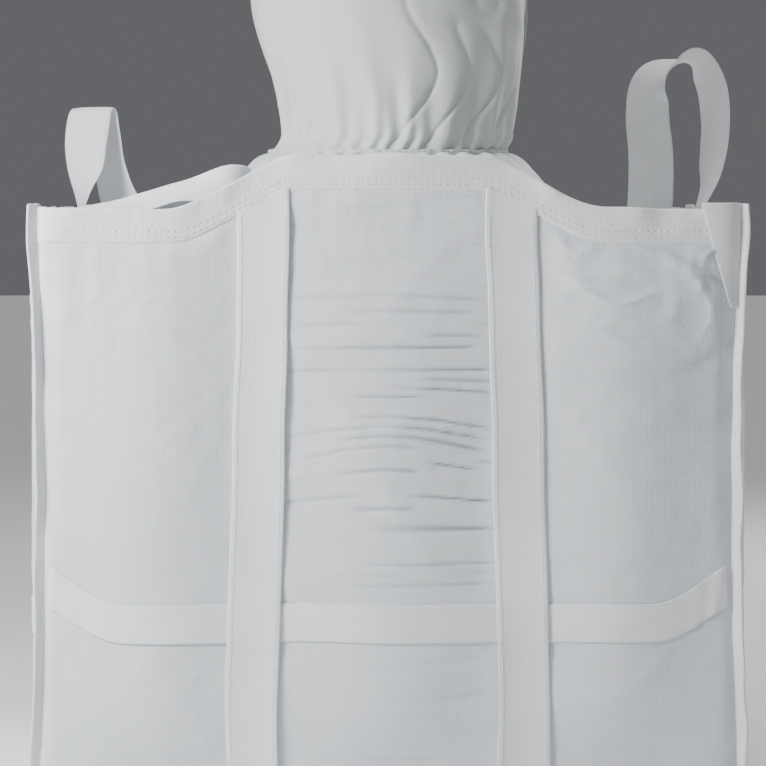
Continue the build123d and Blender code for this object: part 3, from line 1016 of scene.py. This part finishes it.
class BULKBAG_OT_spout(Piece):
    """The filling spout with its gathered foot, collar tape and hemmed mouth"""
    bl_idname = "bulk_bag.spout"
    bl_label = "Filling spout"

    def make(self):
        size = sizes()
        hem_height = 0.025

        def shell(angle, height):
            """Radius of the spout's fabric, side to side and front to back."""
            rise = smooth(height, size.spout_foot + 0.02, size.spout_foot + 0.22)
            half_width = size.spout_radius + (size.mouth_half_width - size.spout_radius) * rise
            half_depth = size.spout_radius + (size.mouth_half_depth - size.spout_radius) * rise
            up = height - size.spout_foot
            gather = np.sin(38 * angle + 2.5 * rumple(angle * 4, 0, 2))
            gather = gather * np.exp(-np.maximum(up - 0.02, 0) / 0.035)
            middling = np.sin(17 * angle + 2.2 * rumple(angle * 2.2, up * 4, 3))
            middling = middling * np.exp(-np.abs(up - 0.07) / 0.07)
            broad = rumple(angle * 2.6, up * 2.4, 4)
            sharp = creases(angle * 3.2 + 0.8 * rumple(up * 9, 0, 5), up * 3, 6)
            calm = 1 - 0.85 * smooth(height, size.spout_top - 0.09, size.spout_top - 0.03)
            start = smooth(up, 0.0, 0.03)
            fold = 0.0026 * gather + 0.0035 * middling * start + (0.0062 * broad - 0.0044 * sharp) * start
            swell = 0.003 - 0.004 * start
            shift = 0.012 * smooth(up, 0, 0.03) * (1 - smooth(up, 0.06, 0.24))
            return half_width + fold * calm + swell, half_depth + fold * calm + swell, shift

        def place(across, up):
            angle = across * 2 * np.pi
            height = size.spout_foot - 0.002 + up * (size.spout_top - hem_height + 0.004 - size.spout_foot)
            wide, deep, shift = shell(angle, height)
            points = np.stack([wide * np.cos(angle) + shift, deep * np.sin(angle), height], axis=-1)
            return points, (across * 1.1, height)

        spout = laid_sheet("spout", 380, 130, place, joined=True)
        thicken(spout, 0.0009)
        dress(spout, spout_cloth())
        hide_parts("filling_spout")
        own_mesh(spout)

        def mouth(across, up):
            angle = across * 2 * np.pi
            height = size.spout_top - hem_height + up * hem_height
            wide, deep, _ = shell(angle, height)
            wide, deep = wide + 0.0022, deep + 0.0022
            points = np.stack([wide * np.cos(angle), deep * np.sin(angle), height], axis=-1)
            return points, (across * 1.1, height)

        mouth_hem = laid_sheet("spout_hem", 200, 5, mouth, joined=True)
        thicken(mouth_hem, 0.0028, levels=1)
        dress(mouth_hem, spout_cloth(), body="spout_mouth")
        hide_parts("spout_mouth_hem")
        angle = np.linspace(0, 2 * np.pi, 131)
        height = size.spout_top - hem_height + 0.004 + 0 * angle
        wide, deep, _ = shell(angle, height)
        wide, deep = wide + 0.0024, deep + 0.0024
        row = np.stack([wide * np.cos(angle), deep * np.sin(angle), height], axis=-1)
        normals = np.stack([np.cos(angle), np.sin(angle), 0 * angle], axis=-1)
        stitch_rows("mouth_stitches", [(row, normals)], body="spout_mouth")

        def collar(across, up):
            angle = across * 2 * np.pi
            height = size.spout_foot - 0.004 + up * 0.012
            pucker = 0.0010 * np.sin(44 * angle + 2 * rumple(angle * 5, 0, 8)) * (0.4 + np.abs(2 * up - 1))
            reach = size.spout_radius + 0.0078 + pucker
            height = height + 0.0015 * rumple(angle * 4, 0, 9)
            points = np.stack([reach * np.cos(angle), reach * np.sin(angle), height], axis=-1)
            return points, (up * 0.05, across)

        tape = laid_sheet("spout_tape", 260, 4, collar, joined=True)
        thicken(tape, 0.0022, levels=1)
        dress(tape, spout_cloth())
        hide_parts("spout_collar")
        angle = np.linspace(0, 2 * np.pi, 121)
        rows = []
        for lift in (0.000, 0.005):
            reach = size.spout_radius + 0.0084
            row = np.stack([reach * np.cos(angle), reach * np.sin(angle),
                            size.spout_foot + lift + 0 * angle], axis=-1)
            rows.append((row, np.stack([np.cos(angle), np.sin(angle), 0 * angle], axis=-1)))
        stitch_rows("collar_stitches", rows)


class BULKBAG_OT_stage(Piece):
    """Floor, soft lights and camera"""
    bl_idname = "bulk_bag.stage"
    bl_label = "Stage"

    def light(self, name, place, aim, size, power, tint=(1, 1, 1)):
        data = bpy.data.lights.new(name, "AREA")
        data.shape = "DISK"
        data.size, data.energy, data.color = size, power, tint
        lamp = bpy.data.objects.new(name, data)
        bpy.context.collection.objects.link(lamp)
        lamp.location = place
        lamp.visible_camera = False
        lamp.rotation_euler = (Vector(aim) - Vector(place)).to_track_quat("-Z", "Y").to_euler()

    def make(self):
        pick_nothing()
        bpy.ops.mesh.primitive_circle_add(vertices=96, radius=30, fill_type="NGON", location=(0, 0, 0))
        floor = bpy.context.object
        floor.name = "floor"
        floor.data.materials.append(floor_finish())
        world = bpy.data.worlds.new("studio")
        bpy.context.scene.world = world
        world.use_nodes = True
        world.node_tree.nodes["Background"].inputs[0].default_value = (0.93, 0.95, 1.0, 1)
        world.node_tree.nodes["Background"].inputs[1].default_value = 0.14
        self.light("key", (-1.40, -1.22, 1.22), (-0.15, -0.3, 0.45), 0.6, 56, (0.94, 0.97, 1))
        self.light("front", (-0.6, -3.4, 2.6), (0, 0, 0.6), 1.6, 6)
        self.light("top", (0.55, 0.1, 2.6), (0.3, 0, 0.7), 0.8, 12)
        self.light("back", (2.4, 3.2, 2.4), (0, 0, 0.8), 1.5, 90)
        overhead = bpy.data.lights.new("overhead", "SUN")
        overhead.energy = 1.1
        overhead.angle = math.radians(40)
        lamp = bpy.data.objects.new("overhead", overhead)
        bpy.context.collection.objects.link(lamp)
        data = bpy.data.cameras.new("camera")
        data.sensor_width = 36
        data.lens = 193.7
        data.clip_end = 200
        camera = bpy.data.objects.new("camera", data)
        bpy.context.collection.objects.link(camera)
        camera.location = (0, -5.88, 0.738)
        camera.rotation_euler = (math.radians(90 - 2.40), 0, math.radians(0.07))
        bpy.context.scene.camera = camera


OPERATORS = (
    BULKBAG_OT_load,
    BULKBAG_OT_baffles,
    BULKBAG_OT_panels,
    BULKBAG_OT_base,
    BULKBAG_OT_hems,
    BULKBAG_OT_corners,
    BULKBAG_OT_bands,
    BULKBAG_OT_straps,
    BULKBAG_OT_loops,
    BULKBAG_OT_patch,
    BULKBAG_OT_spout,
    BULKBAG_OT_stage,
)


class BULKBAG_PT_panel(bpy.types.Panel):
    """Sizes, colours and pieces of the bulk bag"""
    bl_idname = "BULKBAG_PT_panel"
    bl_label = "Bulk bag"
    bl_space_type = "VIEW_3D"
    bl_region_type = "UI"
    bl_category = "Bulk bag"

    def draw(self, context):
        for group in (context.scene.bulk_bag_sizes, context.scene.bulk_bag_colours):
            box = self.layout.box()
            for name in group.__annotations__:
                box.prop(group, name)
        for operator in OPERATORS:
            self.layout.operator(operator.bl_idname)


CLASSES = (BagSizes, BagColours, *OPERATORS, BULKBAG_PT_panel)


def register():
    for item in CLASSES:
        bpy.utils.register_class(item)
    bpy.types.Scene.bulk_bag_sizes = PointerProperty(type=BagSizes)
    bpy.types.Scene.bulk_bag_colours = PointerProperty(type=BagColours)


def unregister():
    del bpy.types.Scene.bulk_bag_sizes
    del bpy.types.Scene.bulk_bag_colours
    for item in reversed(CLASSES):
        bpy.utils.unregister_class(item)


def main():
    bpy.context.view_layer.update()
    register()
    for operator in OPERATORS:
        group, name = operator.bl_idname.split(".")
        getattr(getattr(bpy.ops, group), name)()


if __name__ == "__main__":
    main()
